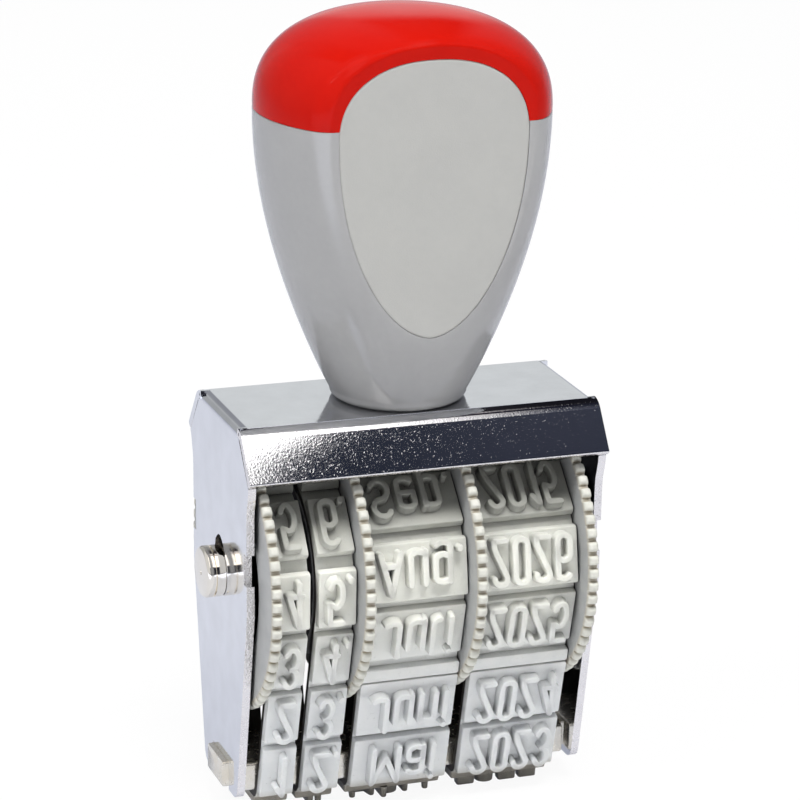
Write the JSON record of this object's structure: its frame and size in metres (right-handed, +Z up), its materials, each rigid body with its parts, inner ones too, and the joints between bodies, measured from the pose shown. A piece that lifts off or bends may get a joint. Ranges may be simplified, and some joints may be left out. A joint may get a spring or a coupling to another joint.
{
  "type": "date stamp",
  "caption": "Hand date stamp with four rotating type wheels in a plated frame and a flat-sided palm handle.",
  "frame": {"origin": "below the middle of the bridge bar, on the surface that the type stands on", "axes": "+Z up from the type to the handle, +X along the wheel axle to the year band, +Y to the back"},
  "size_m": [0.0406, 0.028, 0.0803],
  "materials": {
    "chrome": "bright plated sheet steel",
    "nickel": "nickel plated steel, satin",
    "wheel_plastic": "moulded, slightly cream",
    "washer_plastic": "moulded, plain",
    "band_rubber": "light grey moulded rubber, satin",
    "inlay_plastic": "fine satin grain",
    "handle_plastic": "polished moulding",
    "cap_plastic": "polished moulding",
    "insert_brass": "knurled insert, turned"
  },
  "bodies": {
    "stamp_body": {"frame": "chrome", "axle": "chrome", "axle_cap": "chrome", "spacer_washer": "washer_plastic", "friction_washer": "washer_plastic", "bridge_bar": "nickel", "day_tens_band": "band_rubber", "day_units_band": "band_rubber", "month_band": "band_rubber", "year_band": "band_rubber", "front_inlay": "inlay_plastic", "rear_inlay": "inlay_plastic", "handle_body": "handle_plastic", "handle_cap": "cap_plastic", "threaded_insert": "insert_brass", "screw_washer": "nickel", "handle_screw": "nickel"},
    "day_tens_wheel_body": {"day_tens_wheel": "wheel_plastic"},
    "day_units_wheel_body": {"day_units_wheel": "wheel_plastic"},
    "month_wheel_body": {"month_wheel": "wheel_plastic"},
    "year_wheel_body": {"year_wheel": "wheel_plastic"}
  },
  "joints": [
    {"name": "day_tens_turn", "type": "hinge", "parent": "stamp_body", "child": "day_tens_wheel_body", "pos_m": [0, 0, 0.02486], "axis": [1, 0, 0], "continuous": true},
    {"name": "day_units_turn", "type": "hinge", "parent": "stamp_body", "child": "day_units_wheel_body", "pos_m": [0, 0, 0.02486], "axis": [1, 0, 0], "continuous": true},
    {"name": "month_turn", "type": "hinge", "parent": "stamp_body", "child": "month_wheel_body", "pos_m": [0, 0, 0.02486], "axis": [1, 0, 0], "continuous": true},
    {"name": "year_turn", "type": "hinge", "parent": "stamp_body", "child": "year_wheel_body", "pos_m": [0, 0, 0.02486], "axis": [1, 0, 0], "continuous": true}
  ]
}
